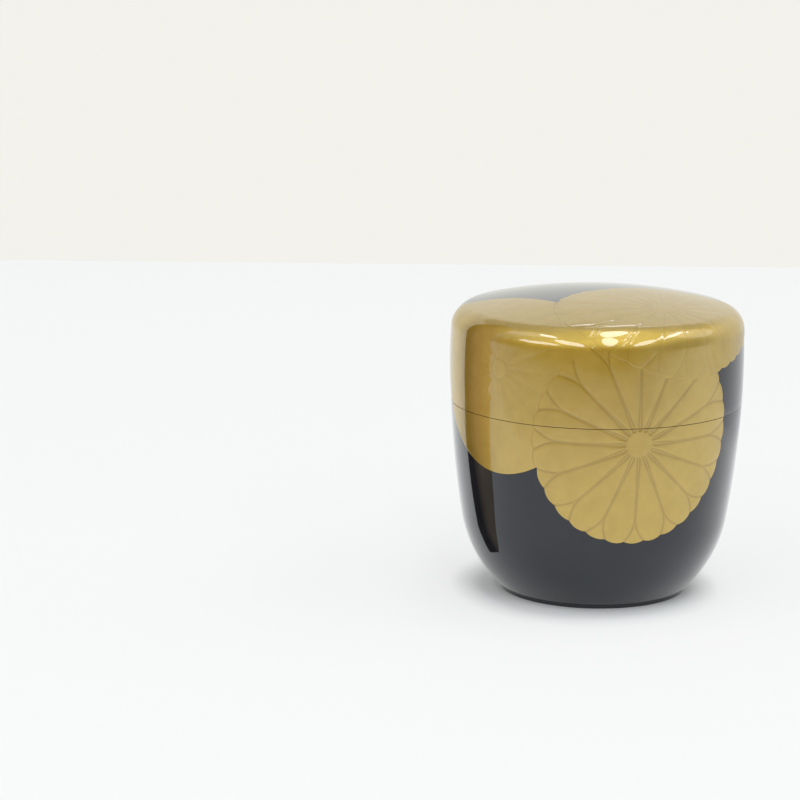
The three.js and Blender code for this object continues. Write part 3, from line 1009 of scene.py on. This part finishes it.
def room_world():
    nodes = Nodes(bpy.data.worlds.new("pale_room"), "ShaderNodeOutputWorld")
    parts = nodes.parts(nodes.add("ShaderNodeTexCoord").outputs["Generated"])

    def share(part, span):
        return nodes.ranged(parts[part], *span, interpolation="SMOOTHSTEP")

    in_front = nodes.product(share("Y", DARK_FRONT_SPAN), share("X", DARK_RIGHT_SPAN))
    dark_share = nodes.product(in_front, share("Z", DARK_TOP_SPAN))
    back_share = nodes.product(share("Y", BACK_SPAN), share("Z", BACK_TOP_SPAN))
    back = nodes.mixed(share("Z", HIGH_BACK_SPAN), BACK, HIGH_BACK)
    room = nodes.mixed(share("Z", CEILING_SPAN), ROOM, CEILING)
    room = nodes.mixed(back_share, room, back)
    room = nodes.mixed(dark_share, room, DARK)
    for_camera = nodes.add("ShaderNodeLightPath").outputs["Is Camera Ray"]
    background = nodes.add("ShaderNodeBackground")
    nodes.link(nodes.mixed(for_camera, room, WALL), background.inputs["Color"])
    return nodes.with_surface(background.outputs["Background"])


bpy.context.scene.world = room_world()

# The lamps hang about two metres from the middle of the foot. Each is a strip between two
# directions, given as degrees round from the front, to the right, and degrees up.
LAMP_DISTANCE = 2
LAMP_COLOUR = (0.95, 0.985, 1.1)


def direction(azimuth, elevation):
    azimuth = math.radians(azimuth)
    elevation = math.radians(elevation)
    level = math.cos(elevation)
    return Vector((math.sin(azimuth) * level, -math.cos(azimuth) * level, math.sin(elevation)))


def lamp(name, start, stop, width, radiance):
    start = direction(*start) * LAMP_DISTANCE
    stop = direction(*stop) * LAMP_DISTANCE
    middle = (start + stop) / 2
    along = (stop - start).normalized()
    back = middle.normalized()
    across = back.cross(along)
    data = bpy.data.lights.new(name, "AREA")
    data.shape = "ELLIPSE"
    data.size = (stop - start).length
    data.size_y = width
    data.color = LAMP_COLOUR
    area = math.pi / 4 * data.size * data.size_y
    data.energy = radiance * math.pi * area
    made = bpy.data.objects.new(name, data)
    turn = Matrix((along, across, back)).transposed().to_4x4()
    made.matrix_world = Matrix.Translation(middle) @ turn
    made.visible_camera = False
    bpy.context.scene.collection.objects.link(made)


lamp("upper_lamp", (163, 66), (14, 72), width=0.36, radiance=4.2)
lamp("front_lamp", (13, 71), (8, 27), width=0.36, radiance=4.2)
lamp("left_spark", (-14, 73), (176, 62), width=0.04, radiance=3.4)
lamp("right_low_spark", (16, 24), (37, 62), width=0.04, radiance=3.4)
lamp("right_high_spark", (38, 64), (151, 65), width=0.04, radiance=3.4)
lamp("left_low_strip", (-70, 26), (-34, 23), width=0.36, radiance=3.4)
lamp("left_high_strip", (-81, 61), (-47, 54), width=0.22, radiance=4.8)
lamp("left_front_strip", (-43, 47), (-14, 21), width=0.38, radiance=3.7)
lamp("right_strip", (26, 26), (56, 48), width=0.34, radiance=3.6)
lamp("right_high_strip", (57, 47), (112, 53), width=0.2, radiance=4.6)
lamp("left_fill", (-100, 42), (-62, 58), width=0.7, radiance=0.7)
lamp("right_fill", (98, 26), (106, 62), width=1.1, radiance=0.75)
lamp("back_strip", (200, 40), (168, 36), width=0.03, radiance=2)

# The camera stands where the photographer's did. It looks straight back and a little down.
CAMERA_PLACE = (-0.044288, -0.72085, 0.19388)
CAMERA_PITCH = 11.852
CAMERA_ROLL = 0.533
CAMERA_SENSOR = 36
CAMERA_LENS = 146.61


def placed_camera():
    camera = bpy.data.objects.new("camera", bpy.data.cameras.new("camera"))
    camera.data.sensor_width = CAMERA_SENSOR
    camera.data.lens = CAMERA_LENS
    turn_down = Matrix.Rotation(math.radians(90 - CAMERA_PITCH), 4, "X")
    roll = Matrix.Rotation(math.radians(CAMERA_ROLL), 4, "Z")
    camera.matrix_world = Matrix.Translation(CAMERA_PLACE) @ turn_down @ roll
    bpy.context.scene.collection.objects.link(camera)
    return camera


bpy.context.scene.camera = placed_camera()
bpy.context.scene.view_settings.view_transform = "Standard"
